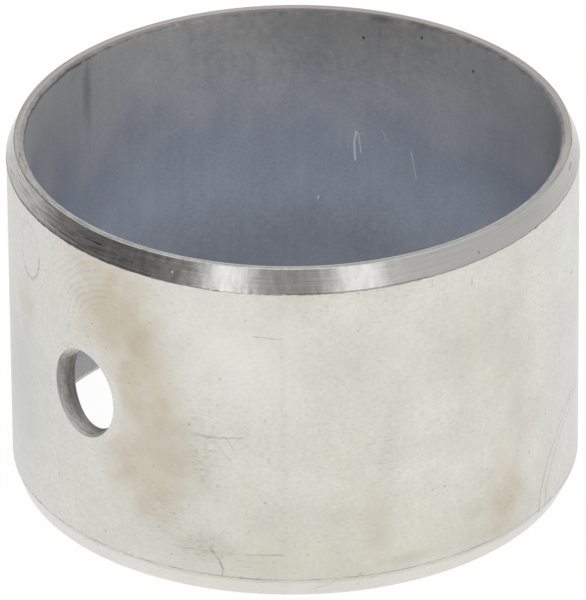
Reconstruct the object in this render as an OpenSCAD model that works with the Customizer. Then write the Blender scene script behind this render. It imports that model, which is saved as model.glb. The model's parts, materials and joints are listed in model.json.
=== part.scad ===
// Plain cylindrical bush, rolled from one strip and pressed into a housing.
// The bore runs along +Z, the lower end stands on the origin and the oil hole faces -Y.

/* [Bush] */
// Diameter over the outer wall, which is pressed into the housing
outer_d = 60; // [40:0.5:90]
// Thickness of the rolled strip
wall = 2; // [1.8:0.1:4]
// Length from end face to end face
length = 38.5; // [20:0.5:80]

/* [Lead-in chamfers] */
// Length along the axis of the chamfer on each outer edge
chamfer_l = 1.9; // [0.5:0.1:4]
// Depth of the same chamfer, measured towards the axis
chamfer_r = 0.8; // [0.3:0.1:1]
// How far off centre the upper chamfer was turned, which makes it wider on one side
chamfer_runout = 0.2; // [0:0.05:0.2]
// Angle from the oil hole to the side where it is widest, anticlockwise seen from above
chamfer_wide_at = 47; // [0:1:359]
// Width of the lead-in inside each end, measured away from the axis
edge_r = 0.45; // [0.1:0.05:0.5]
// Height of the same lead-in along the axis
edge_l = 0.6; // [0.2:0.1:3]

/* [Oil hole] */
// Diameter of the hole punched through the wall
hole_d = 9; // [4:0.5:14]
// How much the hole widens at the outer wall, where its edge is rolled over
lip_r = 0.25; // [0.05:0.05:0.5]
// Depth below the outer wall at which the rolled-over edge begins
lip_depth = 0.7; // [0.2:0.1:1.5]

/* [Joint of the strip] */
// Angle from the oil hole to the joint, clockwise seen from above
joint_from_hole = 82; // [20:1:340]
// Width of the hairline that the two closed strip ends leave in the bore
joint_w = 0.12; // [0.05:0.01:0.3]
// Depth of that hairline below the bore
joint_depth = 0.15; // [0.05:0.05:0.3]

/* [Hidden] */
outer_r = outer_d / 2;
bore_r = outer_r - wall;
hole_z = length / 2;
hole_turn = 270;
chamfer_turn = hole_turn + chamfer_wide_at;
// Overlap of a cutting shape beyond the wall that it cuts
over = 1;
// Height of the cone that rolls over the hole's edge, carried on past the outer wall
lip_h = lip_depth + over;
$fn = 128;

// Half section of the wall in radius and height, with a square upper outer corner
section = [
    [bore_r + edge_r, 0],
    [outer_r - chamfer_r, 0],
    [outer_r, chamfer_l],
    [outer_r, length],
    [bore_r + edge_r, length],
    [bore_r, length - edge_l],
    [bore_r, edge_l]
];

// Triangle outside the upper chamfer, carried on past both of its edges by the chamfer's own size
upper_cut = [
    [outer_r - 2 * chamfer_r, length + chamfer_l],
    [outer_r + chamfer_r, length - 2 * chamfer_l],
    [outer_r + chamfer_r, length + chamfer_l]
];

// The upper chamfer, turned on a centre that lies a little away from its widest side
module upper_chamfer() {
    translate(-chamfer_runout * [cos(chamfer_turn), sin(chamfer_turn), 0])
        rotate_extrude()
            polygon(upper_cut);
}

// Straight hole through the wall, wider where its edge rolls over into the outer wall
module oil_hole() {
    rotate([0, 0, hole_turn])
        translate([0, 0, hole_z])
            rotate([0, 90, 0]) {
                translate([0, 0, bore_r - hole_d / 2])
                    cylinder(d = hole_d, h = wall + hole_d / 2 + over);
                translate([0, 0, outer_r - lip_depth])
                    cylinder(d1 = hole_d, d2 = hole_d + 2 * lip_r * lip_h / lip_depth, h = lip_h);
            }
}

// Hairline along the bore where the ends of the strip butt together, closed below it
module strip_joint() {
    rotate([0, 0, hole_turn - joint_from_hole])
        translate([bore_r - over, -joint_w / 2, -over])
            cube([over + joint_depth, joint_w, length + 2 * over]);
}

module bushing() {
    color([0.80, 0.79, 0.76])
        difference() {
            rotate_extrude()
                polygon(section);
            upper_chamfer();
            oil_hole();
            strip_joint();
        }
}

bushing();
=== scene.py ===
# %% [markdown]
# A plain bush, as it comes off the shelf.
# The real part is one strip of steel with a soft bearing lining bonded to one face. The strip is punched,
# rolled into a ring, turned at its ends and flashed with tin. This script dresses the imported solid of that
# ring: it keeps the solid's place and size, and gives each surface the marks that its making left on it.

# %% Load the solid part as a fixed frame
import json
import math

import bpy
from mathutils import Matrix, Vector


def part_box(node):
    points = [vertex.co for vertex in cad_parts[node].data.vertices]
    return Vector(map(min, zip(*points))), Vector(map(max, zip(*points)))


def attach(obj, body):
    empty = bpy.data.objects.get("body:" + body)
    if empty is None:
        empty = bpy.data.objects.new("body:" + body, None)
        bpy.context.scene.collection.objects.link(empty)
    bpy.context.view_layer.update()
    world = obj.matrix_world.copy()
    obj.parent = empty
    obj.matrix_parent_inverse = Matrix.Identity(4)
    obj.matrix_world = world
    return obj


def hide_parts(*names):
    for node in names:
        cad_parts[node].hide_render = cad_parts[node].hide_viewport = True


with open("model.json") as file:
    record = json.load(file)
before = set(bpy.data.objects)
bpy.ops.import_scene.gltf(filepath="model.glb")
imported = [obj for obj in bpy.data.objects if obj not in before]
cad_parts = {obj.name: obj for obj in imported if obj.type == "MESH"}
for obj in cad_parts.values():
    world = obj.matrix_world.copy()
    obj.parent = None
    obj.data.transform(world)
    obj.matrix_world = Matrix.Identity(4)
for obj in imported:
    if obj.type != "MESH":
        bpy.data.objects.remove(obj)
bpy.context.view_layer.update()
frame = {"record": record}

# %% [markdown]
# The sizes come from the frame where it knows them: the box of the node gives the outer radius and the
# length, and the record's bore mount gives the bore. The small sizes of the edges and the hole repeat those
# of the solid. Only the joint is drawn finer, because on the real bush it is closed and barely shows.

# %% Sizes of the bush
MM = 0.001
node_low, node_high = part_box("bushing")
OUTER_R = (node_high.x - node_low.x) / 2
LENGTH = node_high.z - node_low.z
BORE_R = next(m["dims"]["r_mm"] for m in frame["record"]["mounts"] if m["name"] == "bore") * MM
CHAMFER_L = 1.9 * MM
CHAMFER_R = 0.8 * MM
CHAMFER_RUNOUT = 0.2 * MM
INNER_EDGE_R = 0.45 * MM
INNER_EDGE_L = 0.6 * MM
HOLE_R = 4.5 * MM
HOLE_Z = LENGTH / 2
LIP_R = 0.25 * MM
LIP_DEPTH = 0.7 * MM
JOINT_W = 0.08 * MM
JOINT_DEPTH = 0.012 * MM
# degrees round the axis: the hole from +X, the other two from the hole
HOLE_AT = 270
CHAMFER_FROM_HOLE = 47
JOINT_FROM_HOLE = 82
CHAMFER_TURN = math.radians(HOLE_AT + CHAMFER_FROM_HOLE)
JOINT_TURN = math.radians(HOLE_AT - JOINT_FROM_HOLE)
print("outer radius, bore radius, length in mm:", OUTER_R / MM, BORE_R / MM, LENGTH / MM)

# %% [markdown]
# The camera stands well back with a long lens, as for a catalogue picture, so upright lines stay nearly
# parallel. A camera object looks along its own -Z with +Y up, so its matrix is built from three directions:
# to the right, up, and back towards the photographer.

# %% Camera
CAMERA_AZIMUTH = math.radians(47.35)
CAMERA_ELEVATION = math.radians(29.08)
CAMERA_ROLL = math.radians(-0.49)
CAMERA_DISTANCE = 1.192
CAMERA_ASIDE = -0.115 * MM
CAMERA_LIFT = -0.40 * MM
CAMERA_LENS = 680.0

to_camera = Vector((math.sin(CAMERA_AZIMUTH), -math.cos(CAMERA_AZIMUTH), 0))
camera_right = Vector((math.cos(CAMERA_AZIMUTH), math.sin(CAMERA_AZIMUTH), 0))
camera_back = to_camera * math.cos(CAMERA_ELEVATION) + Vector((0, 0, math.sin(CAMERA_ELEVATION)))
camera_up = camera_back.cross(camera_right)
rolled_right = camera_right * math.cos(CAMERA_ROLL) + camera_up * math.sin(CAMERA_ROLL)
rolled_up = camera_up * math.cos(CAMERA_ROLL) - camera_right * math.sin(CAMERA_ROLL)

camera = bpy.data.objects.new("catalogue_camera", bpy.data.cameras.new("catalogue_camera"))
camera.data.lens = CAMERA_LENS
axes = Matrix((rolled_right, rolled_up, camera_back)).transposed().to_4x4()
place = Vector((0, 0, LENGTH / 2)) + camera_back * CAMERA_DISTANCE
place += rolled_right * CAMERA_ASIDE + rolled_up * CAMERA_LIFT
camera.matrix_world = Matrix.Translation(place) @ axes
bpy.context.scene.collection.objects.link(camera)
bpy.context.scene.camera = camera
print("camera at", tuple(round(x, 3) for x in place))

# %% [markdown]
# Node trees make both the shape and the finishes below. Writing them by hand is long, so one small function
# adds a node with its settings, and another fills or links a node's inputs, by name or in their order.
# A node that is given as an input stands for its output. Colours are written as sRGB hex codes, as a paint
# program shows them. Blender reckons in linear light, so the third function undoes the sRGB curve.

# %% Functions for nodes and colours
def fill(tree, node, inputs):
    pairs = inputs.items() if isinstance(inputs, dict) else enumerate(inputs)
    for name, value in pairs:
        if isinstance(value, bpy.types.Node):
            value = next(socket for socket in value.outputs if socket.enabled)
        if isinstance(value, bpy.types.NodeSocket):
            tree.links.new(value, node.inputs[name])
        else:
            node.inputs[name].default_value = value


def add(tree, kind, inputs=(), **settings):
    made = tree.nodes.new(kind)
    for name, value in settings.items():
        setattr(made, name, value)
    fill(tree, made, inputs)
    return made


def colour(hex_code):
    parts = [int(hex_code[i:i + 2], 16) / 255 for i in (1, 3, 5)]
    linear = [p / 12.92 if p <= 0.04045 else ((p + 0.055) / 1.055) ** 2.4 for p in parts]
    return (*linear, 1.0)


print("mid grey in linear light:", round(colour("#808080")[0], 3))

# %% [markdown]
# Marks on a round wall are easier to place on the strip that it was rolled from. Each finish below reads two
# places, both in millimetres: the place in the solid, for patterns that have no seam, and the place on the
# unrolled strip, for single marks. The strip's zero is the oil hole on the outer wall, and the point opposite
# the hole on the bore, with the arc running to the right for someone who looks at that wall.

# %% Places in the solid and on the unrolled strip
FROM_HOLE = -1
FROM_OPPOSITE = 1


def places(tree, radius, zero):
    metres = add(tree, "ShaderNodeTexCoord").outputs["Object"]
    solid = add(tree, "ShaderNodeVectorMath", {"Vector": metres, "Scale": 1 / MM}, operation="SCALE")
    split = add(tree, "ShaderNodeSeparateXYZ", [solid])
    ahead = add(tree, "ShaderNodeMath", [split.outputs["Y"], zero], operation="MULTIPLY")
    angle = add(tree, "ShaderNodeMath", [split.outputs["X"], ahead], operation="ARCTAN2")
    arc = add(tree, "ShaderNodeMath", [angle, radius / MM], operation="MULTIPLY")
    strip = add(tree, "ShaderNodeCombineXYZ", [arc, split.outputs["Z"], 0.0])
    return solid, strip, split


def off_axis(tree, solid):
    flat = add(tree, "ShaderNodeVectorMath", [solid, (1, 1, 0)], operation="MULTIPLY")
    return add(tree, "ShaderNodeVectorMath", [flat], operation="LENGTH")


print("the strip is", round(math.tau * OUTER_R / MM, 1), "mm long outside")

# %% [markdown]
# A few kinds of mark make up every finish, with their sizes in millimetres. Streaks are noise stretched by
# a size along each axis. A patch is an ellipse on the strip, given by its centre, its half size and how soft
# its ragged rim is. A scratch is the distance to a chain of straight pieces, on a strip that noise can bend
# so that it wavers. Specks are the middles of some cells of a Voronoi pattern. Each gives values from 0 to 1.

# %% Streaks, patches, scratches and specks
# nearly all values of a noise lie between these, about their mean
NOISE = (0.3, 0.7)
NOISE_MEAN = 0.5
# share of a scratch's half width that has its full strength
SCRATCH_CORE = 0.25


def streaks(tree, place, grain, detail=3.0):
    drawn_out = add(tree, "ShaderNodeVectorMath", [place, grain], operation="DIVIDE")
    return add(tree, "ShaderNodeTexNoise", {"Vector": drawn_out, "Scale": 1.0, "Detail": detail})


def patch(tree, strip, ragged, centre, size, soft):
    aside = add(tree, "ShaderNodeVectorMath", [strip, (*centre, 0)], operation="SUBTRACT")
    aside = add(tree, "ShaderNodeVectorMath", [aside, (*size, 1)], operation="DIVIDE")
    away = add(tree, "ShaderNodeVectorMath", [aside], operation="LENGTH")
    away = add(tree, "ShaderNodeMath", [away, ragged], operation="ADD")
    return add(tree, "ShaderNodeMapRange", [away, 1.0, 1.0 - soft], interpolation_type="SMOOTHSTEP")


def waver(tree, strip, noise, reach):
    bend = add(tree, "ShaderNodeVectorMath", [noise.outputs["Color"], [NOISE_MEAN] * 3], operation="SUBTRACT")
    bend = add(tree, "ShaderNodeVectorMath", [bend, (reach, reach, 0)], operation="MULTIPLY")
    return add(tree, "ShaderNodeVectorMath", [strip, bend], operation="ADD")


def scratch(tree, strip, width, points):
    nearest = None
    for start, end in zip(points, points[1:]):
        run = Vector((end[0] - start[0], end[1] - start[1], 0))
        aside = add(tree, "ShaderNodeVectorMath", [strip, (*start, 0)], operation="SUBTRACT")
        along = add(tree, "ShaderNodeVectorMath", [aside, run / run.length_squared], operation="DOT_PRODUCT")
        along = add(tree, "ShaderNodeMath", [along, 0.0], operation="ADD", use_clamp=True)
        foot = add(tree, "ShaderNodeVectorMath", {"Vector": run, "Scale": along}, operation="SCALE")
        away = add(tree, "ShaderNodeVectorMath", [aside, foot], operation="DISTANCE")
        nearest = add(tree, "ShaderNodeMath", [nearest, away], operation="MINIMUM") if nearest else away
    return add(tree, "ShaderNodeMapRange", [nearest, width, width * SCRATCH_CORE])


def specks(tree, solid, spacing, radius, share):
    cells = add(tree, "ShaderNodeTexVoronoi", {"Vector": solid, "Scale": 1 / spacing})
    dot = add(tree, "ShaderNodeMapRange", [cells.outputs["Distance"], radius / spacing, 0.0])
    chosen = add(tree, "ShaderNodeMath", [cells.outputs["Color"], share], operation="LESS_THAN")
    return add(tree, "ShaderNodeMath", [dot, chosen], operation="MULTIPLY")


print("a scratch has its full strength over", SCRATCH_CORE, "of its width")

# %% [markdown]
# A finish starts as a plain material. Marks are then laid on its colour: the values of a mark and its
# strength are multiplied, and the product says how much of a tint covers the colour below. At the end the
# colour, the gloss and a shallow relief go to the shader.

# %% Start a finish, lay marks on it, end it
def lay_on(tree, tone, marks, tint, blend="MIX"):
    share, *others = marks
    for other in others:
        share = add(tree, "ShaderNodeMath", [share, other], operation="MULTIPLY")
    return add(tree, "ShaderNodeMix", {"Factor": share, "A": tone, "B": colour(tint)},
               data_type="RGBA", blend_type=blend)


def start_finish(name):
    made = bpy.data.materials.new(name)
    made.use_nodes = True
    return made, made.node_tree, made.node_tree.nodes["Principled BSDF"]


def end_finish(tree, shader, tone, metallic, rough, height, relief):
    strength, depth = relief
    bump = add(tree, "ShaderNodeBump", {"Strength": strength, "Distance": depth, "Height": height})
    fill(tree, shader, {"Base Color": tone, "Metallic": metallic, "Roughness": rough, "Normal": bump})


print("materials before the finishes:", len(bpy.data.materials))

# %% [markdown]
# The outer wall is rolled steel strip with a flash of tin, a few microns thick. Tin gives the eye a milky
# white with a broad, soft sheen. It is cloudy and a little yellowed in front, with a fine grain and short
# flecks that lie along the strip. The grain is really about 0.05 mm; it is drawn at 0.4 mm here, because
# finer grain wouldn't show. A painted image would do as well, but noise has no seam and needs no unwrapping.

# %% Tin-flashed wall: clouds, grain and flecks
TIN_BRIGHT = "#EAEAE5"
TIN_DULL = "#D7D6D1"
TIN_YELLOWED = "#FAF7EF"
FLECK = "#B4B1A8"
TIN_CLOUD = (6, 6, 6)
TIN_YELLOW = (9, 9, 12)
TIN_GRAIN = (0.45, 0.45, 0.4)
TIN_FLECK = (0.9, 0.9, 0.22)
GRAIN_SHARE = 0.75
# values of the noise between which a pattern goes from none to full
TIN_SHADE = (0.6, 1.15)
YELLOW_SHADE = (0.1, 0.7)
FLECK_SHADE = (0.60, 0.75)
FLECK_STRENGTH = 0.35
YELLOWED_SIDE = ((27.0, 19.0), (44.0, 46.0), 0.9)

tin_flash, tree, shader = start_finish("tin_flashed_steel_rolled")
solid, strip, split = places(tree, OUTER_R, FROM_HOLE)
clouds = streaks(tree, solid, TIN_CLOUD)
grain = streaks(tree, solid, TIN_GRAIN)
shade = add(tree, "ShaderNodeMath", [grain, GRAIN_SHARE, clouds], operation="MULTIPLY_ADD")
shade = add(tree, "ShaderNodeMapRange", [shade, *TIN_SHADE])
tone = lay_on(tree, colour(TIN_DULL), [shade], TIN_BRIGHT)
yellow = streaks(tree, solid, TIN_YELLOW)
yellow = add(tree, "ShaderNodeMapRange", [yellow, *YELLOW_SHADE])
yellowed_side = patch(tree, strip, 0.0, *YELLOWED_SIDE)
tone = lay_on(tree, tone, [yellow, yellowed_side], TIN_YELLOWED, "MULTIPLY")
dashes = streaks(tree, solid, TIN_FLECK)
fleck = add(tree, "ShaderNodeMapRange", [dashes, *FLECK_SHADE])
tone = lay_on(tree, tone, [fleck, FLECK_STRENGTH], FLECK)
print("tin: cloud", TIN_CLOUD[0], "mm, grain", TIN_GRAIN[0], "mm")

# %% [markdown]
# An oil stain lies above the hole and runs down its right side, with a smaller rust stain low on the right,
# dust here and there, and a thin grey film left of the hole. Stains are transparent, so each one multiplies
# the tin's colour. One noise makes all the rims ragged, the grain mottles them, and close round the hole the
# stain has been wiped off.

# %% Tin-flashed wall: stains
OIL = "#E9DFCB"
RUST = "#E4DACB"
DUST = "#EAE8DE"
SOOT = "#F1F2F2"
# centre, half size, softness, strength, tint
STAINS = [
    ((4.5, 30.5), (8.2, 8.0), 0.95, 0.75, OIL),
    ((2.0, 34.5), (9.0, 3.4), 1.0, 0.35, OIL),
    ((8.0, 25.0), (7.2, 9.0), 1.0, 0.65, OIL),
    ((9.8, 17.0), (7.0, 10.5), 0.95, 0.45, OIL),
    ((9.4, 14.6), (5.6, 8.8), 0.45, 0.17, OIL),
    ((9.0, 10.8), (6.8, 5.6), 0.85, 0.34, OIL),
    ((5.0, 13.2), (3.8, 3.4), 1.0, 0.40, OIL),
    ((13.5, 15.0), (5.0, 11.0), 1.0, 0.40, DUST),
    ((15.5, 5.5), (4.0, 2.6), 1.0, 0.45, DUST),
    ((-11.5, 25.0), (4.0, 5.0), 1.0, 0.50, DUST),
    ((-13.0, 15.0), (11.0, 15.0), 1.0, 0.90, SOOT),
    ((49.0, 5.0), (6.4, 6.5), 1.0, 0.50, RUST),
    ((50.0, 10.0), (5.2, 8.5), 1.0, 0.35, RUST),
    ((51.0, 20.0), (5.0, 11.0), 1.0, 0.35, DUST),
    ((45.0, 27.0), (9.0, 9.0), 1.0, 0.35, DUST),
    ((33.6, 9.5), (2.6, 8.0), 1.0, 0.35, DUST),
    ((36.5, 3.4), (6.0, 1.0), 1.0, 0.50, DUST),
    ((30.0, 4.0), (46.0, 9.0), 1.0, 0.35, DUST),
]
STAIN_RIM = (2.4, 2.4, 2.4)
STAIN_RIM_DETAIL = 5.0
STAIN_RAGGED = 0.15
STAIN_MOTTLE = (0.65, 1.25)
# millimetres from the middle of the hole between which the stain begins, and how far its rim is pushed back
WIPED_OFF = (4.9, 5.7)
WIPED_BACK = 0.5

rim = streaks(tree, solid, STAIN_RIM, STAIN_RIM_DETAIL)
rim = add(tree, "ShaderNodeMapRange", [rim, *NOISE, -STAIN_RAGGED, STAIN_RAGGED])
from_hole = add(tree, "ShaderNodeVectorMath", [strip, (0, HOLE_Z / MM, 0)], operation="DISTANCE")
wiped_off = add(tree, "ShaderNodeMapRange", [from_hole, *WIPED_OFF, WIPED_BACK, 0.0])
stain_rim = add(tree, "ShaderNodeMath", [rim, wiped_off], operation="ADD")
mottled = add(tree, "ShaderNodeMapRange", [grain, *NOISE, *STAIN_MOTTLE])
for centre, size, soft, strength, tint in STAINS:
    spread = patch(tree, strip, stain_rim, centre, size, soft)
    tone = lay_on(tree, tone, [spread, mottled, strength], tint, "MULTIPLY")
print("stains on the tin:", len(STAINS))

# %% [markdown]
# Beside the stain, and in a few other places, the wall is scuffed along the strip. The scuffs are the same
# short flecks as above, darker and closer together, kept to patches.

# %% Tin-flashed wall: scuffs
SCUFF = "#A39F92"
SCUFF_SHADE = (0.40, 0.72)
# centre, half size, softness, strength
SCUFFS = [
    ((15.3, 17.5), (3.4, 8.0), 1.0, 0.42),
    ((14.5, 5.2), (4.2, 2.6), 1.0, 0.40),
    ((10.0, 9.0), (5.0, 4.5), 1.0, 0.28),
    ((34.6, 17.0), (1.6, 7.0), 1.0, 0.25),
]

scuff = add(tree, "ShaderNodeMapRange", [dashes, *SCUFF_SHADE])
for centre, size, soft, strength in SCUFFS:
    scuffed = patch(tree, strip, rim, centre, size, soft)
    tone = lay_on(tree, tone, [scuffed, scuff, strength], SCUFF)
print("scuffed places:", len(SCUFFS))

# %% [markdown]
# The lower chamfer was cut before the tin went on, so it carries the tin too. It is painted a little whiter
# than the wall, a painted reflection of the white floor. The place to the right of the oil stain is painted
# whiter as well, a painted highlight.

# %% Tin-flashed wall: painted reflection and highlight
PAINTED_LIGHT_WHITE = "#F4F4F1"
FLOOR_REFLECTION_EDGE = 0.2
FLOOR_REFLECTION_STRENGTH = 0.35
PAINTED_HIGHLIGHT = ((18.5, 29.0), (11.0, 13.0), 1.0)
HIGHLIGHT_STRENGTH = 0.45

low = CHAMFER_L / MM
# painted reflection: the lower chamfer is painted whiter, standing in for the white floor that it reflects
painted_light = add(tree, "ShaderNodeMapRange", [split.outputs["Z"], low, low - FLOOR_REFLECTION_EDGE, 0.0, FLOOR_REFLECTION_STRENGTH])
# painted highlight: the place to the right of the oil stain is painted whiter
highlight = patch(tree, strip, rim, *PAINTED_HIGHLIGHT)
highlight = add(tree, "ShaderNodeMath", [highlight, HIGHLIGHT_STRENGTH], operation="MULTIPLY")
painted_light = add(tree, "ShaderNodeMath", [painted_light, highlight], operation="MAXIMUM")
tone = lay_on(tree, tone, [painted_light], PAINTED_LIGHT_WHITE)
print("rubbed below", low, "mm")

# %% [markdown]
# A wiping cloth left a set of faint arcs above the hole. They are rings about one centre, kept to a patch and
# begun a little way out, because rings that close would look like a target.

# %% Tin-flashed wall: arcs
ARC_CENTRE = (4.5, 26.5, 0)
ARC_SPACING = 0.75
ARC_WAVER = 1.2
ARC_STRENGTH = 0.36
# millimetres from the centre between which the arcs begin
ARC_BEGINS = (3.5, 5.5)
ARC_PATCH = ((-0.2, 31.2), (8.0, 7.0), 0.9)

away = add(tree, "ShaderNodeVectorMath", [strip, ARC_CENTRE], operation="DISTANCE")
outside = add(tree, "ShaderNodeMapRange", [away, *ARC_BEGINS])
away = add(tree, "ShaderNodeMath", [rim, ARC_WAVER, away], operation="MULTIPLY_ADD")
wave = add(tree, "ShaderNodeMath", [away, math.tau / ARC_SPACING], operation="MULTIPLY")
wave = add(tree, "ShaderNodeMath", [wave], operation="SINE")
wave = add(tree, "ShaderNodeMath", [wave, 0.0], operation="MAXIMUM")
wiped = patch(tree, strip, rim, *ARC_PATCH)
tone = lay_on(tree, tone, [wave, wiped, outside, ARC_STRENGTH], OIL, "MULTIPLY")
print("arcs every", ARC_SPACING, "mm")

# %% [markdown]
# Handling left thin scratches, which skip and waver, so noise bends and breaks them. A thin line of dirt has
# settled along the lower chamfer. Each scratch is a chain of a few places on the strip.

# %% Tin-flashed wall: scratches
GREY = "#8E8C86"
BROWN = "#A08C78"
LINE_WAVER = 0.35
# values of the rim's noise between which a scratch goes from skipped to whole
LINE_SKIP = (-0.11, 0.08)
OVAL_STEP = 18
HALF_STRIP = math.pi * OUTER_R / MM


def oval(centre, size, first, last):
    turns = [math.radians(degrees) for degrees in range(first, last + 1, OVAL_STEP)]
    return [(centre[0] + size[0] * math.cos(turn), centre[1] + size[1] * math.sin(turn)) for turn in turns]


# half width, strength, tint, how whole it is, places that it runs through
SCRATCHES = [
    (0.14, 0.55, GREY, 0.8, oval((67.5, 1.0), (12.5, 11.0), 90, 180)),
    (0.12, 0.45, GREY, 0.8, oval((67.5, 1.0), (11.2, 10.0), 90, 180)),
    (0.25, 0.22, GREY, 0.7, oval((-9.9, 31.7), (2.3, 3.2), 0, 360)),
    (0.30, 0.35, BROWN, 0.7, oval((-9.9, 31.7), (2.3, 3.2), 234, 360)),
    (0.12, 0.80, GREY, 0.0, [(15.7, 5.4), (16.6, 4.2), (17.1, 3.1), (17.0, 2.3)]),
    (0.12, 0.60, BROWN, 0.0, [(17.2, 7.6), (16.2, 6.2), (15.7, 5.4)]),
    (0.12, 0.45, GREY, 0.0, [(11.5, 4.9), (17.0, 5.0), (23.4, 5.2)]),
    (0.14, 0.40, GREY, 0.0, [(13.3, 18.8), (16.4, 18.6), (19.2, 18.9)]),
    (0.12, 0.30, GREY, 0.0, [(17.6, 18.8), (19.2, 15.8)]),
    (0.12, 0.25, GREY, 0.0, [(16.8, 17.6), (18.0, 16.0)]),
    (0.14, 0.45, GREY, 0.5, [(39.6, 35.6), (39.6, 34.7)]),
    (0.16, 0.50, GREY, 0.5, [(44.5, 34.3), (44.5, 33.5)]),
    (0.16, 0.60, GREY, 0.5, [(63.6, 26.2), (65.0, 25.8)]),
    (0.12, 0.50, GREY, 0.5, [(26.3, 0.7), (28.8, 1.8)]),
    (0.12, 0.35, GREY, 0.0, [(20.5, 31.0), (23.5, 30.8)]),
    (0.10, 0.80, GREY, 0.3, [(-HALF_STRIP, 2.2), (HALF_STRIP, 2.2)]),
]

wavering = waver(tree, strip, grain, LINE_WAVER)
skip = add(tree, "ShaderNodeMapRange", [rim, *LINE_SKIP])
for width, strength, tint, whole, points in SCRATCHES:
    line = scratch(tree, wavering, width, points)
    kept = add(tree, "ShaderNodeMath", [skip, whole], operation="MAXIMUM")
    tone = lay_on(tree, tone, [line, kept, strength], tint)
print("scratches on the tin:", len(SCRATCHES))

# %% [markdown]
# The strip has fine dark specks all over, and more of them in the tail of the stain. The tin's gloss follows
# its clouds, and its grain is a very shallow relief that breaks up the reflections.

# %% Tin-flashed wall: specks, gloss and relief
SPECK_SPACING = 1.5
SPECK_R = 0.2
SPECK_SHARE = 0.3
SPECK_MORE = 0.45
SPECK_STRENGTH = 0.6
STAIN_TAIL = ((10.5, 11.0), (7.0, 11.0), 0.6)
TIN_ROUGH = (0.38, 0.50)
TIN_RELIEF = (0.25, 0.01 * MM)

tail = patch(tree, strip, rim, *STAIN_TAIL)
share = add(tree, "ShaderNodeMath", [tail, SPECK_MORE, SPECK_SHARE], operation="MULTIPLY_ADD")
speck = specks(tree, solid, SPECK_SPACING, SPECK_R, share)
tone = lay_on(tree, tone, [speck, SPECK_STRENGTH], GREY)
gloss = add(tree, "ShaderNodeMapRange", [clouds, *NOISE, *TIN_ROUGH])
end_finish(tree, shader, tone, 1.0, gloss, grain, TIN_RELIEF)
print("tin-flashed wall:", len(tree.nodes), "nodes")

# %% [markdown]
# The upper chamfer and the end faces were turned after rolling, so their steel is bare, and darker and
# glossier than the tin. A finishing cut feeds about 0.1 mm a turn and leaves lines that run round the ring,
# so the noise is stretched round the axis and packed close across the cut. Handling has smeared the lines in
# front, straight up and down the chamfer.

# %% Turned steel: lathe lines and smears
STEEL = "#BFBEBB"
STEEL_DULL = "#AAA9A5"
# sizes in millimetres along X, Y and across the cut
TURN_LINE = (10, 10, 0.10)
TURN_SMEAR = (0.7, 0.7, 3.0)
LINE_SHARE = 0.7
STEEL_SHADE = (0.65, 1.05)
SMEARED = ((20.0, 37.0), (22.0, 12.0), 0.6)

turned_steel, tree, shader = start_finish("bare_steel_turned")
solid, strip, split = places(tree, OUTER_R, FROM_HOLE)
from_axis = off_axis(tree, solid)
across = add(tree, "ShaderNodeMath", [split.outputs["Z"], from_axis], operation="SUBTRACT")
lathe_place = add(tree, "ShaderNodeCombineXYZ", [split.outputs["X"], split.outputs["Y"], across])
fine = streaks(tree, lathe_place, TURN_LINE)
smear = streaks(tree, solid, TURN_SMEAR)
smeared = patch(tree, strip, 0.0, *SMEARED)
smear_here = add(tree, "ShaderNodeMath", [smear, NOISE_MEAN], operation="SUBTRACT")
smear_here = add(tree, "ShaderNodeMath", [smear_here, smeared, NOISE_MEAN], operation="MULTIPLY_ADD")
uneven = add(tree, "ShaderNodeMath", [fine, LINE_SHARE, smear_here], operation="MULTIPLY_ADD")
shade = add(tree, "ShaderNodeMapRange", [uneven, *STEEL_SHADE])
tone = lay_on(tree, colour(STEEL_DULL), [shade], STEEL)
print("lathe lines:", TURN_LINE[2], "mm apart")

# %% [markdown]
# Where the tool chattered, near the hole, the lines are deep and hold dirt. They are a coarser noise on the
# same lathe coordinates, kept to a patch. The end face is duller than the chamfer, and lined too.

# %% Turned steel: chatter and end face
GROOVE_AND_SHADOW_GREY = "#55534E"
GROOVE_LINE = (2.6, 2.6, 0.20)
GROOVE_SHADE = (0.50, 0.60)
GROOVE_STRENGTH = 0.45
CHATTER = ((-7.0, 37.0), (23.0, 8.0), 0.55)
SMEAR_RAGGED = 0.3
FACE_DULL = "#E6E5E1"
# values of the lines' noise, and how dull they leave the face
FACE_LINED = (0.35, 0.65, 1.0, 0.3)
FACE_BELOW = 0.08
FACE_EDGE = 0.05

rim = add(tree, "ShaderNodeMapRange", [smear, *NOISE, -SMEAR_RAGGED, SMEAR_RAGGED])
coarse = streaks(tree, lathe_place, GROOVE_LINE)
groove = add(tree, "ShaderNodeMapRange", [coarse, *GROOVE_SHADE])
chatter = patch(tree, strip, rim, *CHATTER)
tone = lay_on(tree, tone, [groove, chatter, GROOVE_STRENGTH], GROOVE_AND_SHADOW_GREY)
face_z = LENGTH / MM - FACE_BELOW
on_face = add(tree, "ShaderNodeMapRange", [split.outputs["Z"], face_z, face_z + FACE_EDGE])
face = add(tree, "ShaderNodeMapRange", [fine, *FACE_LINED])
tone = lay_on(tree, tone, [face, on_face], FACE_DULL, "MULTIPLY")
print("grooves:", GROOVE_LINE[2], "mm wide; end face above", round(face_z, 2), "mm")

# %% [markdown]
# A few knocks show as single nicks, and one of them carries a painted glint. On the end face the tool left
# thin dark lines near the outer corner, so those lines are placed by arc and radius instead of arc and
# height. Along the foot of the chamfer a painted shadow line darkens the crease under the burr; it is a line
# on the strip that follows the chamfer's run-out.

# %% Turned steel: nicks, tool lines and painted shadow at the crease
NICK_GLINT = "#FFFFFF"
DARK_NICK = "#2E2D2A"
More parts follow.
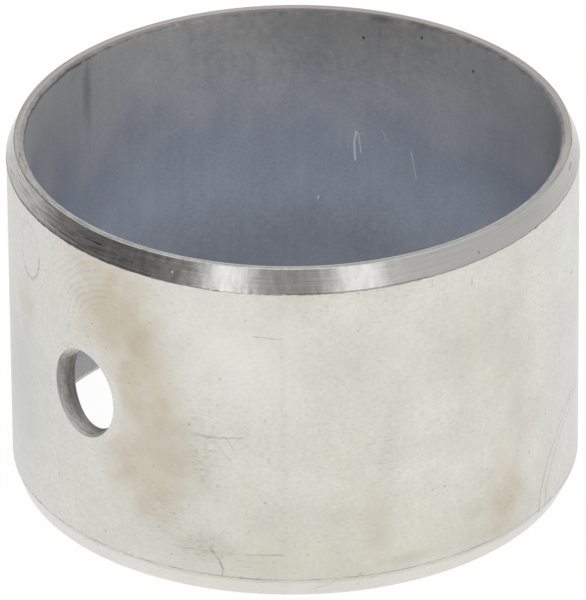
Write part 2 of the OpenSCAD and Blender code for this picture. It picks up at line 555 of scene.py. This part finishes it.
# centre, half size, softness, strength, tint
NICKS = [
    # a painted glint: this nick is painted pure white where it catches the light
    ((11.75, 37.1), (0.16, 0.20), 0.6, 0.95, NICK_GLINT),
    ((45.65, 36.9), (0.13, 0.25), 0.8, 0.70, GROOVE_AND_SHADOW_GREY),
    ((1.7, 37.55), (1.8, 0.12), 0.8, 0.90, DARK_NICK),
    ((-0.2, 37.4), (0.15, 0.30), 0.8, 0.80, STEEL),
    ((16.8, 36.0), (0.50, 0.15), 0.8, 0.70, GROOVE_AND_SHADOW_GREY),
    ((22.0, 36.0), (0.50, 0.15), 0.8, 0.70, GROOVE_AND_SHADOW_GREY),
    ((36.2, 35.9), (0.50, 0.15), 0.8, 0.60, GROOVE_AND_SHADOW_GREY),
    ((54.4, 36.3), (0.40, 0.15), 0.8, 0.60, GROOVE_AND_SHADOW_GREY),
]
# half width, strength, arc and radius of the places that it runs through
RIM_LINES = [
    (0.05, 0.55, [(-48.0, 29.12), (-35.0, 29.03), (-24.0, 29.03)]),
    (0.06, 0.80, [(69.0, 29.15), (71.0, 29.1)]),
    (0.06, 0.60, [(65.0, 29.45), (66.5, 29.4)]),
    (0.06, 0.50, [(60.0, 28.9), (64.0, 28.95)]),
    (0.06, 0.40, [(49.0, 29.0), (54.0, 29.02)]),
]
# painted shadow along the crease under the burr: half width, strength, places on the strip that it runs
# through
CREASE_SHADOW_LINES = [
    (0.11, 0.75, [(-22.0, 36.70), (-10.0, 36.44), (0.0, 36.27), (9.0, 36.16)]),
    (0.07, 0.55, [(9.0, 36.14), (16.0, 36.08)]),
    (0.10, 0.60, [(24.0, 36.09), (32.0, 36.10), (39.0, 36.17)]),
    (0.06, 0.45, [(39.0, 36.14), (50.0, 36.28), (58.0, 36.41), (66.0, 36.57)]),
]
RIM_WAVER = 0.25
STEEL_ROUGH = (0.14, 0.26)
STEEL_RELIEF = (0.5, 0.01 * MM)

for centre, size, soft, strength, tint in NICKS:
    nick = patch(tree, strip, rim, centre, size, soft)
    tone = lay_on(tree, tone, [nick, strength], tint)
arc = add(tree, "ShaderNodeSeparateXYZ", [strip]).outputs["X"]
bent = add(tree, "ShaderNodeMath", [fine, RIM_WAVER, from_axis], operation="MULTIPLY_ADD")
bent = add(tree, "ShaderNodeMath", [bent, RIM_WAVER * NOISE_MEAN], operation="SUBTRACT")
rim_strip = add(tree, "ShaderNodeCombineXYZ", [arc, bent, 0.0])
# the rim lines are tool lines; the crease lines are painted shadow
lines = [(rim_strip, *line) for line in RIM_LINES] + [(strip, *line) for line in CREASE_SHADOW_LINES]
for line_place, width, strength, points in lines:
    line = scratch(tree, line_place, width, points)
    tone = lay_on(tree, tone, [line, strength], GROOVE_AND_SHADOW_GREY)
gloss = add(tree, "ShaderNodeMapRange", [fine, *NOISE, *STEEL_ROUGH])
end_finish(tree, shader, tone, 1.0, gloss, uneven, STEEL_RELIEF)
print("turned steel:", len(tree.nodes), "nodes")

# %% [markdown]
# The bore is lined with a soft bearing alloy, bored to size and left to dull. It is a matt blue-grey that is
# more neutral near the ends, with clouds, a fine grit, faint upright streaks and small dark pits.

# %% Bearing lining: colour, streaks and pits
LINING = "#BCBBBA"
LINING_LOW = "#A1A8B6"
LINING_DULL = "#E8E8E8"
LINING_STREAK = (1.0, 1.0, 18)
LINING_CLOUD = (7, 7, 7)
LINING_GRIT = (0.30, 0.30, 0.30)
STREAK_SHARE = 0.4
LINING_SHADE = (1.5, 0.9)
PIT = "#4A4C52"
PIT_SPACING = 2.6
PIT_R = 0.14
PIT_SHARE = 0.18
PIT_STRENGTH = 0.5
# heights in millimetres between which the colour turns neutral, and how far the clouds shift the upper ones
NEUTRAL_ABOVE = (30.0, 43.0)
NEUTRAL_SHIFT = 14.0
NEUTRAL_BELOW = (5.0, 2.5)

lining, tree, shader = start_finish("bearing_lining_bored")
solid, strip, split = places(tree, BORE_R, FROM_OPPOSITE)
upright = streaks(tree, solid, LINING_STREAK)
clouds = streaks(tree, solid, LINING_CLOUD)
grit = streaks(tree, solid, LINING_GRIT)
high_end = add(tree, "ShaderNodeMath", [clouds, NEUTRAL_SHIFT, split.outputs["Z"]], operation="MULTIPLY_ADD")
high_end = add(tree, "ShaderNodeMapRange", [high_end, *NEUTRAL_ABOVE])
tone = lay_on(tree, colour(LINING_LOW), [high_end], LINING)
low_end = add(tree, "ShaderNodeMapRange", [split.outputs["Z"], *NEUTRAL_BELOW])
tone = lay_on(tree, tone, [low_end], LINING)
shade = add(tree, "ShaderNodeMath", [upright, STREAK_SHARE, clouds], operation="MULTIPLY_ADD")
shade = add(tree, "ShaderNodeMath", [shade, grit], operation="ADD")
shade = add(tree, "ShaderNodeMapRange", [shade, *LINING_SHADE])
tone = lay_on(tree, tone, [shade], LINING_DULL, "MULTIPLY")
pit = specks(tree, solid, PIT_SPACING, PIT_R, PIT_SHARE)
tone = lay_on(tree, tone, [pit, PIT_STRENGTH], PIT)
print("lining: streak", LINING_STREAK[2], "mm tall, grit", LINING_GRIT[0], "mm")

# %% [markdown]
# Grime has settled along the upper edge, on the joint and low down, in soft patches and in a wavering line.
# Painted shade darkens the rounded upper edge and the upper back of the bore, in broad soft patches. Grime is
# a thin layer, so it multiplies the colour as the stains outside do, and the painted shade is laid on the
# same way.

# %% Bearing lining: grime and painted shade
GRIME_AND_SHADE_GREY = "#8A8986"
# centre, half size, softness, strength
GRIME_AND_SHADE_PATCHES = [
    # painted shade: darkens the rounded upper edge of the bore round the back and sides
    ((-24.0, 38.75), (80.0, 0.85), 0.6, 0.72),
    ((-13.6, 38.15), (1.3, 0.7), 1.0, 0.45),
    ((-13.55, 36.5), (0.25, 2.0), 1.0, 0.25),
    ((-48.1, 34.0), (1.1, 6.5), 1.0, 0.42),
    ((-24.0, 8.5), (40.0, 11.0), 1.0, 0.42),
    # painted shade: darkens the upper back of the bore, toning down the front lights' reflection there
    ((-18.0, 37.0), (26.0, 10.0), 1.0, 0.50),
    ((18.0, 35.0), (7.0, 14.0), 1.0, 0.35),
]
# half width, strength, places that it runs through
GRIME_LINES = [
    (0.20, 0.80, [(-72.0, 38.1), (-60.0, 38.15), (-49.0, 38.22)]),
    (0.15, 0.55, [(-49.0, 38.22), (-44.0, 38.25)]),
    (0.11, 0.32, [(-44.0, 38.25), (-36.0, 38.28)]),
    (0.09, 0.40, [(-10.0, 38.38), (0.0, 38.36), (8.0, 38.3)]),
]
PATCH_RIM = (1.0, 1.0, 1.0)
PATCH_RAGGED = 0.12
GRIME_WAVER = 0.5

uneven = streaks(tree, solid, PATCH_RIM)
ragged = add(tree, "ShaderNodeMapRange", [uneven, *NOISE, -PATCH_RAGGED, PATCH_RAGGED])
wavering = waver(tree, strip, uneven, GRIME_WAVER)
darkenings = [(patch(tree, strip, ragged, *place), strength) for *place, strength in GRIME_AND_SHADE_PATCHES]
darkenings += [(scratch(tree, wavering, width, points), strength) for width, strength, points in GRIME_LINES]
for darkening, strength in darkenings:
    tone = lay_on(tree, tone, [darkening, strength], GRIME_AND_SHADE_GREY, "MULTIPLY")
print("films of grime:", len(darkenings))

# %% [markdown]
# Small dark spots and a few bright scores show where something touched the lining. Soft, tarnished metal
# scatters most of its light, so it is only half metallic here.

# %% Bearing lining: spots, scores and relief
DARK_SPOTS = [(-15.4, 35.7), (-8.7, 37.0), (-2.0, 35.0)]
SPOT_SIZE = (0.22, 0.26)
SPOT_SOFT = 0.6
SCORE = "#D8DADC"
# half width, strength, places that it runs through
SCORES = [
    (0.15, 0.90, [(-16.4, 20.8), (-16.5, 23.0), (-16.25, 24.3)]),
    (0.10, 0.75, [(-16.25, 24.3), (-16.0, 23.9), (-15.75, 21.8)]),
    (0.09, 0.60, [(-10.0, 22.9), (-9.4, 19.8)]),
    (0.09, 0.40, [(-13.3, 24.7), (-12.8, 23.6)]),
    (0.14, 0.80, [(-20.5, 15.8), (-20.4, 16.0)]),
]
LINING_METALLIC = 0.5
LINING_ROUGH = 0.5
LINING_RELIEF = (0.2, 0.02 * MM)

for centre in DARK_SPOTS:
    spot = patch(tree, strip, 0.0, centre, SPOT_SIZE, SPOT_SOFT)
    tone = lay_on(tree, tone, [spot], PIT)
for width, strength, points in SCORES:
    line = scratch(tree, strip, width, points)
    tone = lay_on(tree, tone, [line, strength], SCORE)
end_finish(tree, shader, tone, LINING_METALLIC, LINING_ROUGH, grit, LINING_RELIEF)
print("bearing lining:", len(tree.nodes), "nodes")

# %% [markdown]
# The oil hole was punched through the flat strip. The punch shears the first part of the thickness clean and
# tears the rest, so the outer half of the hole's wall is lighter and the inner half is dark and mottled.
# Fine dark lines run round the hole, side by side through the thickness, so their noise is packed close
# along Y. At its upper left the hole's wall is burnished bright. Rough, sooty steel is only partly metallic.

# %% Punched steel
SHEARED = "#B4B3AF"
TORN = "#82817D"
BURNISHED = "#E2E1DD"
DRAG_DARK = "#D6D5D1"
TORN_MOTTLE = (0.5, 0.5, 0.5)
DRAG_LINE = (1.5, 0.12, 1.5)
DRAG_SHADE = (0.48, 0.62)
# distances from the axis between which torn steel gives way to sheared, with the mottle's reach added
SHEAR_BEGINS = (29.2, 30.2)
MOTTLE_REACH = 1.2
BURNISHED_PLACE = ((-2.6, 23.4), (2.6, 2.2), 0.9)
BURNISHED_RAGGED = 0.3
PUNCHED_METALLIC = 0.4
PUNCHED_ROUGH = 0.55
PUNCHED_RELIEF = (0.4, 0.05 * MM)

punched_steel, tree, shader = start_finish("bare_steel_punched")
solid, strip, split = places(tree, OUTER_R, FROM_HOLE)
mottle = streaks(tree, solid, TORN_MOTTLE)
depth = add(tree, "ShaderNodeMath", [mottle, MOTTLE_REACH, off_axis(tree, solid)], operation="MULTIPLY_ADD")
depth = add(tree, "ShaderNodeMapRange", [depth, *SHEAR_BEGINS])
tone = lay_on(tree, colour(TORN), [depth], SHEARED)
drag = streaks(tree, solid, DRAG_LINE)
drag = add(tree, "ShaderNodeMapRange", [drag, *DRAG_SHADE])
tone = lay_on(tree, tone, [drag], DRAG_DARK, "MULTIPLY")
ragged = add(tree, "ShaderNodeMapRange", [mottle, *NOISE, -BURNISHED_RAGGED, BURNISHED_RAGGED])
burnished = patch(tree, strip, ragged, *BURNISHED_PLACE)
tone = lay_on(tree, tone, [burnished], BURNISHED)
end_finish(tree, shader, tone, PUNCHED_METALLIC, PUNCHED_ROUGH, mottle, PUNCHED_RELIEF)
print("punched steel:", len(tree.nodes), "nodes")

# %% [markdown]
# The wall's half section is the one drawing that the whole bush follows, so it is the input of a lathe built
# in Geometry Nodes. Each stretch of the section gets rows of points, packed close at its ends: the tiny gap
# between two stretches then reads as a broken edge that catches the light. The inner edges are rounded, the
# corners of the end faces are a little worn, and the tool has pushed up a burr where the upper chamfer meets
# the wall, so the wall lies a hair inside the box. Every point also carries the finish of the band that
# starts there, its share of each chamfer's run-out, how ragged it is, and whether a tool left ridges on it.

# %% Half section of the wall
EDGE = 0.05 * MM
RAGGED_REACH = 0.5 * MM
BURR = 0.08 * MM
BURR_L = 0.5 * MM
CORNER_WORN = 0.06 * MM
TIN, TURNED, LINED, PUNCHED = range(4)

inner_r = BORE_R + INNER_EDGE_R
face_r = OUTER_R - CHAMFER_R - CORNER_WORN
wall_r = OUTER_R - BURR
crease_z = LENGTH - CHAMFER_L
# name, start and end in radius and height, finish, number of steps
stretches = [
    ("bore", (BORE_R, INNER_EDGE_L), (BORE_R, LENGTH - INNER_EDGE_L), LINED, 16),
    ("upper_inner_edge", (BORE_R, LENGTH - INNER_EDGE_L), (inner_r, LENGTH), LINED, 8),
    ("upper_face", (inner_r, LENGTH), (face_r, LENGTH), TURNED, 6),
    ("upper_chamfer", (face_r, LENGTH), (OUTER_R, crease_z), TURNED, 32),
    ("burr", (OUTER_R, crease_z), (wall_r, crease_z - BURR_L), TIN, 6),
    ("outer_wall", (wall_r, crease_z - BURR_L), (wall_r, CHAMFER_L), TIN, 14),
    ("lower_chamfer", (wall_r, CHAMFER_L), (face_r, 0), TIN, 24),
    ("lower_face", (face_r, 0), (inner_r, 0), TURNED, 4),
    ("lower_inner_edge", (inner_r, 0), (BORE_R, INNER_EDGE_L), TURNED, 8),
]


def along(name, start, end, share):
    r_share = z_share = share
    quarter = share * math.pi / 2
    if name == "upper_inner_edge":
        r_share, z_share = 1 - math.cos(quarter), math.sin(quarter)
    if name == "lower_inner_edge":
        r_share, z_share = math.sin(quarter), 1 - math.cos(quarter)
    return start[0] + (end[0] - start[0]) * r_share, start[1] + (end[1] - start[1]) * z_share


def section_rows():
    for name, start, end, zone, steps in stretches:
        size = math.dist(start, end)
        spots = [EDGE, 2 * EDGE]
        spots += [2 * EDGE + (size - 4 * EDGE) * k / steps for k in range(1, steps)]
        spots += [size - 2 * EDGE, size - EDGE]
        for spot in spots:
            share = spot / size
            r, z = along(name, start, end, share)
            to_crease = {"upper_chamfer": size - spot, "burr": spot}.get(name, RAGGED_REACH)
            yield {
                "at": (r, 0.0, z),
                "zone": zone,
                "out": {"upper_face": share, "upper_chamfer": 1 - share}.get(name, 0.0),
                "low_out": {"lower_chamfer": share, "lower_face": 1 - share}.get(name, 0.0),
                "down": {"upper_chamfer": share, "burr": 1.0, "outer_wall": 1 - share}.get(name, 0.0),
                "ragged": max(0.0, 1 - to_crease / RAGGED_REACH),
                "ridged": float(name == "upper_chamfer" and 2 * EDGE < spot < size - 2 * EDGE),
            }


rows = list(section_rows())
section = bpy.data.meshes.new("half_section")
section.from_pydata([row["at"] for row in rows], [(k, (k + 1) % len(rows)) for k in range(len(rows))], [])
for name in ("zone", "out", "low_out", "down", "ragged", "ridged"):
    section.attributes.new(name, "FLOAT", "POINT").data.foreach_set("value", [row[name] for row in rows])
bush = bpy.data.objects.new("bush", section)
bpy.context.scene.collection.objects.link(bush)
print("rows of points in the half section:", len(rows))

# %% [markdown]
# The lathe is a node tree whose sizes are named inputs. A Screw modifier could turn the section as well, but
# it can't move a point by where it lies on the ring, which an off-centre chamfer and a torn edge need.

# %% Lathe: inputs
SEGMENTS = 640
# millimetres that the chamfer's foot moves down for each millimetre of run-out
CHAMFER_SLOPE = 3.0
LOWER_RUNOUT = 0.12 * MM
LOWER_TURN = math.radians(47)
RIDGE_DEPTH = 0.006 * MM
RIDGE_SPACING = 0.30 * MM
TEAR_REACH = 0.30 * MM

lathe = bpy.data.node_groups.new("ring_lathe", "GeometryNodeTree")
sockets = [
    ("Section", "NodeSocketGeometry", None),
    ("Segments", "NodeSocketInt", SEGMENTS),
    ("Run-out", "NodeSocketFloat", CHAMFER_RUNOUT),
    ("Lower Run-out", "NodeSocketFloat", LOWER_RUNOUT),
    ("Chamfer Slope", "NodeSocketFloat", CHAMFER_SLOPE),
    ("Ridge Depth", "NodeSocketFloat", RIDGE_DEPTH),
    ("Ridge Spacing", "NodeSocketFloat", RIDGE_SPACING),
    ("Ragged Edge", "NodeSocketFloat", TEAR_REACH),
    ("Hole Radius", "NodeSocketFloat", HOLE_R),
    ("Hole Height", "NodeSocketFloat", HOLE_Z),
    ("Tin", "NodeSocketMaterial", tin_flash),
    ("Turned", "NodeSocketMaterial", turned_steel),
    ("Lining", "NodeSocketMaterial", lining),
    ("Punched", "NodeSocketMaterial", punched_steel),
]
socket_ids = {}
for name, kind, value in sockets:
    socket_ids[name] = lathe.interface.new_socket(name, in_out="INPUT", socket_type=kind).identifier
lathe.interface.new_socket("Bush", in_out="OUTPUT", socket_type="NodeSocketGeometry")
given = add(lathe, "NodeGroupInput").outputs
print("inputs of the lathe:", len(sockets))

# %% [markdown]
# The tree starts from a flat grid with one column of points for each step of the turn and one row for each
# point of the section, and one more of each to close the ring. A point's number in the grid gives its row
# and its column, the row picks a point of the section, and the column gives the turn.

# %% Lathe: rows and turns
count = add(lathe, "GeometryNodeAttributeDomainSize", [given["Section"]], component="MESH")
rows_closed = add(lathe, "ShaderNodeMath", [count, 1.0], operation="ADD")
columns = add(lathe, "ShaderNodeMath", [given["Segments"], 1.0], operation="ADD")
grid = add(lathe, "GeometryNodeMeshGrid", {"Vertices X": rows_closed, "Vertices Y": columns})
index = add(lathe, "GeometryNodeInputIndex")


def row_at(per_row):
    share = add(lathe, "ShaderNodeMath", [index, per_row], operation="DIVIDE")
    return add(lathe, "ShaderNodeMath", [share], operation="FLOOR")


def from_section(name, row):
    field = add(lathe, "GeometryNodeInputNamedAttribute", [name], data_type="FLOAT")
    return add(lathe, "GeometryNodeSampleIndex", {"Geometry": given["Section"], "Value": field, "Index": row},
               data_type="FLOAT")


row = add(lathe, "ShaderNodeMath", [row_at(columns), count], operation="FLOORED_MODULO")
column = add(lathe, "ShaderNodeMath", [index, columns], operation="FLOORED_MODULO")
part_turn = add(lathe, "ShaderNodeMath", [column, given["Segments"]], operation="DIVIDE")
turn = add(lathe, "ShaderNodeMath", [part_turn, math.tau], operation="MULTIPLY")
cosine = add(lathe, "ShaderNodeMath", [turn], operation="COSINE")
sine = add(lathe, "ShaderNodeMath", [turn], operation="SINE")
here = add(lathe, "GeometryNodeInputPosition")
drawn = add(lathe, "GeometryNodeSampleIndex", {"Geometry": given["Section"], "Value": here, "Index": row},
            data_type="FLOAT_VECTOR")
drawn = add(lathe, "ShaderNodeSeparateXYZ", [drawn])
print("points in the grid:", (len(rows) + 1) * (SEGMENTS + 1))

# %% [markdown]
# Four things move a point from its place on a perfect ring. Ridges are cut into the chamfer, as noise that
# changes quickly up it and slowly round it. The upper chamfer was turned about a centre that lies a little
# away from its widest side, and the lower one is off centre towards another side. The tool tore the rim of
# the tin as it left the wall. None of them reaches outside the solid's box.

# %% Lathe: ridges, run-out and torn edge
RIDGE_DETAIL = 2.0
# tears in a stretch as long as the radius
TEARS = 45.0
TEAR_DETAIL = 3.0


def taken(move, size, name):
    move = add(lathe, "ShaderNodeMath", [move, size], operation="MULTIPLY")
    return add(lathe, "ShaderNodeMath", [move, from_section(name, row)], operation="MULTIPLY")


def leaning(widest):
    off = add(lathe, "ShaderNodeMath", [turn, widest], operation="SUBTRACT")
    return add(lathe, "ShaderNodeMath", [off], operation="COSINE")


ridge_step = add(lathe, "ShaderNodeMath", [drawn.outputs["Z"], given["Ridge Spacing"]], operation="DIVIDE")
ridge_at = add(lathe, "ShaderNodeCombineXYZ", [cosine, sine, ridge_step])
ridge = add(lathe, "ShaderNodeTexNoise", {"Vector": ridge_at, "Scale": 1.0, "Detail": RIDGE_DETAIL})
ridge = taken(ridge, given["Ridge Depth"], "ridged")

lean = leaning(CHAMFER_TURN)
swing_in = taken(lean, given["Run-out"], "out")
swing = add(lathe, "ShaderNodeMath", [lean, given["Run-out"]], operation="MULTIPLY")
swing_down = taken(swing, given["Chamfer Slope"], "down")
swing_low = taken(leaning(LOWER_TURN), given["Lower Run-out"], "low_out")

tear_at = add(lathe, "ShaderNodeCombineXYZ", [cosine, sine, 0.0])
tear = add(lathe, "ShaderNodeTexNoise", {"Vector": tear_at, "Scale": TEARS, "Detail": TEAR_DETAIL})
tear = add(lathe, "ShaderNodeMath", [tear, NOISE_MEAN], operation="SUBTRACT")
tear = taken(tear, given["Ragged Edge"], "ragged")
worn = add(lathe, "ShaderNodeMath", [tear, 0.0], operation="MAXIMUM")

radius = drawn.outputs["X"]
for cut_in in (swing_in, swing_low, worn, ridge):
    radius = add(lathe, "ShaderNodeMath", [radius, cut_in], operation="SUBTRACT")
height = add(lathe, "ShaderNodeMath", [drawn.outputs["Z"], swing_down], operation="SUBTRACT")
height = add(lathe, "ShaderNodeMath", [height, tear], operation="ADD")
rightward = add(lathe, "ShaderNodeMath", [radius, cosine], operation="MULTIPLY")
backward = add(lathe, "ShaderNodeMath", [radius, sine], operation="MULTIPLY")
spot = add(lathe, "ShaderNodeCombineXYZ", [rightward, backward, height])
ring = add(lathe, "GeometryNodeSetPosition", {"Geometry": grid, "Position": spot})
print("nodes in the lathe so far:", len(lathe.nodes))

# %% [markdown]
# Each band of faces is marked with the finish of its row. Then the rows and columns that lie on each other
# are merged, which closes the ring.

# %% Lathe: finish of each band
SEAM = 0.0005 * MM

zone = from_section("zone", row_at(given["Segments"]))
ring = add(lathe, "GeometryNodeStoreNamedAttribute", {"Geometry": ring, "Name": "zone", "Value": zone},
           data_type="INT", domain="FACE")
ring = add(lathe, "GeometryNodeMergeByDistance", {"Geometry": ring, "Distance": SEAM})
print("finish numbers:", TIN, TURNED, LINED, PUNCHED)

# %% [markdown]
# The oil hole and the joint of the strip are cut out of the ring: a straight punch with a wider lip for the
# hole, and a thin blade for the joint. The lip is a little taller than wide. The hole was punched in the flat
# strip, so rolling drew its sides together, and they lean towards one line inside the ring.

# %% Lathe: cutters
OVER = 1.0 * MM
CUTTER_SEGMENTS = 128
LIP_WIDE = 0.955
LIP_TALL = 1.06
SIDES_MEET = 19 * MM
OUTWARDS = (math.pi / 2, 0, 0)

lip_h = LIP_DEPTH + OVER
lip_top = add(lathe, "ShaderNodeMath", [given["Hole Radius"], LIP_R * lip_h / LIP_DEPTH], operation="ADD")
punch = add(lathe, "GeometryNodeMeshCylinder",
            {"Vertices": CUTTER_SEGMENTS, "Radius": given["Hole Radius"], "Depth": 2 * HOLE_R})
lip = add(lathe, "GeometryNodeMeshCone", {"Vertices": CUTTER_SEGMENTS, "Radius Top": lip_top,
                                         "Radius Bottom": given["Hole Radius"], "Depth": lip_h})
blade = add(lathe, "GeometryNodeMeshCube", [(OVER + JOINT_DEPTH, JOINT_W, LENGTH + 2 * OVER)])
punch_place = add(lathe, "ShaderNodeCombineXYZ", [0.0, -(BORE_R + OUTER_R) / 2, given["Hole Height"]])
lip_place = add(lathe, "ShaderNodeCombineXYZ", [0.0, LIP_DEPTH - OUTER_R, given["Hole Height"]])
blade_r = BORE_R + (JOINT_DEPTH - OVER) / 2
blade_place = (blade_r * math.cos(JOINT_TURN), blade_r * math.sin(JOINT_TURN), LENGTH / 2)
cutters = [
    add(lathe, "GeometryNodeTransform",
        {"Geometry": made, "Translation": at, "Rotation": turned, "Scale": scale})
    for made, at, turned, scale in (
        (punch, punch_place, OUTWARDS, (1, LIP_TALL, 1)),
        (lip, lip_place, OUTWARDS, (LIP_WIDE, LIP_TALL, 1)),
        (blade, blade_place, (0, 0, JOINT_TURN), (1, 1, 1)),
    )
]
split = add(lathe, "ShaderNodeSeparateXYZ", [here])
squeeze = add(lathe, "ShaderNodeMapRange", [split.outputs["Y"], -SIDES_MEET, -OUTER_R], clamp=False)
squeezed = add(lathe, "ShaderNodeMath", [split.outputs["X"], squeeze], operation="MULTIPLY")
squeezed = add(lathe, "ShaderNodeCombineXYZ", [squeezed, split.outputs["Y"], split.outputs["Z"]])
cutters[0] = add(lathe, "GeometryNodeSetPosition", {"Geometry": cutters[0], "Position": squeezed})
print("cutters:", len(cutters))

# %% [markdown]
# The faces that a cutter leaves take the finish that the cutter is marked with. Slivers are left where a
# cutter passes close to a row of points, so points that nearly touch are merged. The ring is then smooth
# everywhere but at its true corners, and each finish gets its material.

# %% Lathe: cut, smooth and paint
SLIVER = 0.001 * MM
CORNER = math.radians(50)

cut = add(lathe, "GeometryNodeMeshBoolean", {"Mesh 1": ring}, operation="DIFFERENCE", solver="MANIFOLD")
for cutter, finish in zip(cutters, (PUNCHED, PUNCHED, LINED)):
    marked = add(lathe, "GeometryNodeStoreNamedAttribute",
                 {"Geometry": cutter, "Name": "zone", "Value": finish}, data_type="INT", domain="FACE")
    fill(lathe, cut, {"Mesh 2": marked})
shaped = add(lathe, "GeometryNodeMergeByDistance", {"Geometry": cut, "Distance": SLIVER})
bent = add(lathe, "GeometryNodeInputMeshEdgeAngle")
gentle = add(lathe, "FunctionNodeCompare", {"A": bent, "B": CORNER}, data_type="FLOAT", operation="LESS_THAN")
shaped = add(lathe, "GeometryNodeSetShadeSmooth", {"Geometry": shaped, "Shade Smooth": True}, domain="FACE")
shaped = add(lathe, "GeometryNodeSetShadeSmooth", {"Geometry": shaped, "Shade Smooth": gentle}, domain="EDGE")
shaped = add(lathe, "GeometryNodeRealizeInstances", [shaped])
stored = add(lathe, "GeometryNodeInputNamedAttribute", ["zone"], data_type="INT")
for number, name in enumerate(("Tin", "Turned", "Lining", "Punched")):
    painted = add(lathe, "FunctionNodeCompare", {"A": stored, "B": number},
                  data_type="INT", operation="EQUAL")
    shaped = add(lathe, "GeometryNodeSetMaterial",
                 {"Geometry": shaped, "Selection": painted, "Material": given[name]})
add(lathe, "NodeGroupOutput", [shaped])
print("nodes in the lathe:", len(lathe.nodes))

# %% [markdown]
# The tree runs as a modifier on the half section. Its inputs are set by their identifiers before the object
# is first evaluated. The result is kept as a plain mesh, because a modifier would run again for every copy.

# %% Turn the bush
modifier = bush.modifiers.new("ring_lathe", "NODES")
modifier.node_group = lathe
for name, kind, value in sockets:
    if value is not None:
        modifier[socket_ids[name]] = value
graph = bpy.context.evaluated_depsgraph_get()
turned_mesh = bpy.data.meshes.new_from_object(bush.evaluated_get(graph))
bush.modifiers.remove(modifier)
bush.data = turned_mesh
bpy.data.meshes.remove(section)
print("bush:", len(turned_mesh.vertices), "points,", len(turned_mesh.polygons), "faces,",
      [m.name for m in turned_mesh.materials if m])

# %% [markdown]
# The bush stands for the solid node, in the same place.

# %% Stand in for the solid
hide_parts("bushing")
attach(bush, "root")
print(bush.name, "stands for the solid")

# %% [markdown]
# The bush stands on white paper. Lit paper alone would look grey near the bush, so for rays from the camera,
# or off a shiny or clear surface, most of it is plain white and the rest is real lit paper, which keeps a
# soft shadow.

# %% Floor
FLOOR_HALF = 2.0
PAPER_ALBEDO = 0.9
PAPER_ROUGH = 0.9
PAPER_WHITE = 0.96
WHITE = (1, 1, 1, 1)

floor_mesh = bpy.data.meshes.new("floor")
corners = [(x * FLOOR_HALF, y * FLOOR_HALF, 0) for x, y in ((-1, -1), (1, -1), (1, 1), (-1, 1))]
floor_mesh.from_pydata(corners, [], [(0, 1, 2, 3)])
floor = bpy.data.objects.new("floor", floor_mesh)
bpy.context.scene.collection.objects.link(floor)
paper, tree, shader = start_finish("white_paper")
fill(tree, shader, {"Base Color": (PAPER_ALBEDO, PAPER_ALBEDO, PAPER_ALBEDO, 1), "Roughness": PAPER_ROUGH,
                    "Specular IOR Level": 0.0})
ray_kind = add(tree, "ShaderNodeLightPath").outputs
seen = ray_kind["Is Camera Ray"]
for kind in ("Is Glossy Ray", "Is Transmission Ray"):
    seen = add(tree, "ShaderNodeMath", [seen, ray_kind[kind]], operation="MAXIMUM")
seen = add(tree, "ShaderNodeMath", [seen, PAPER_WHITE], operation="MULTIPLY")
white = add(tree, "ShaderNodeEmission", {"Color": WHITE, "Strength": 1.0})
both = add(tree, "ShaderNodeMixShader", [seen, shader, white])
fill(tree, tree.nodes["Material Output"], {"Surface": both})
floor.data.materials.append(paper)
print("floor half size, metres:", FLOOR_HALF)

# %% [markdown]
# Bare metal shows what stands round it, so the room matters more than the lamps. The world is a studio drawn
# by direction: a dim room to the left, two strip lights in front, a pale card to the right, a white backdrop
# behind and a soft box overhead. The turn round the bush picks a grey from a ramp, and the height blends in
# the soft box.

# %% Studio
# turn from the middle of the picture in degrees, to the right, and the grey that stands there
STUDIO = [
    (-180, 1.00), (-150, 0.70), (-120, 0.36), (-100, 0.22), (-60, 0.20), (-45, 0.38), (-35, 0.46),
    (-32, 1.90), (-19, 1.80), (-16, 0.58), (0, 0.45), (14, 0.58), (18, 1.70), (31, 1.85), (36, 0.90),
    (120, 0.85), (150, 0.90), (180, 0.90),
]
RAMP_MIDDLE = 0.5
SOFT_BOX = 1.6
# upward share of a direction between which the soft box begins and is full
SOFT_BOX_EDGE = (0.60, 0.85)

world = bpy.data.worlds.new("studio")
world.use_nodes = True
room = world.node_tree
ray = add(room, "ShaderNodeTexCoord").outputs["Generated"]
rightward = add(room, "ShaderNodeVectorMath", [ray, camera_right], operation="DOT_PRODUCT")
forward = add(room, "ShaderNodeVectorMath", [ray, to_camera], operation="DOT_PRODUCT")
upward = add(room, "ShaderNodeSeparateXYZ", [ray]).outputs["Z"]
round_turn = add(room, "ShaderNodeMath", [rightward, forward], operation="ARCTAN2")
round_turn = add(room, "ShaderNodeMapRange", [round_turn, -math.pi, math.pi])
ramp = add(room, "ShaderNodeValToRGB", [round_turn])
stops = ramp.color_ramp.elements
while len(stops) < len(STUDIO):
    stops.new(RAMP_MIDDLE)
for stop, (degrees, grey) in zip(stops, STUDIO):
    stop.position = degrees / 360 + RAMP_MIDDLE
for stop, (degrees, grey) in zip(stops, STUDIO):
    stop.color = (grey, grey, grey, 1)
above = add(room, "ShaderNodeMapRange", [upward, *SOFT_BOX_EDGE], interpolation_type="SMOOTHSTEP")
light = add(room, "ShaderNodeMix", {"Factor": above, "A": ramp, "B": SOFT_BOX})
fill(room, room.nodes["Background"], {"Color": WHITE, "Strength": light})
bpy.context.scene.world = world
bpy.context.scene.view_settings.view_transform = "Standard"
print("studio ramp stops:", len(stops))
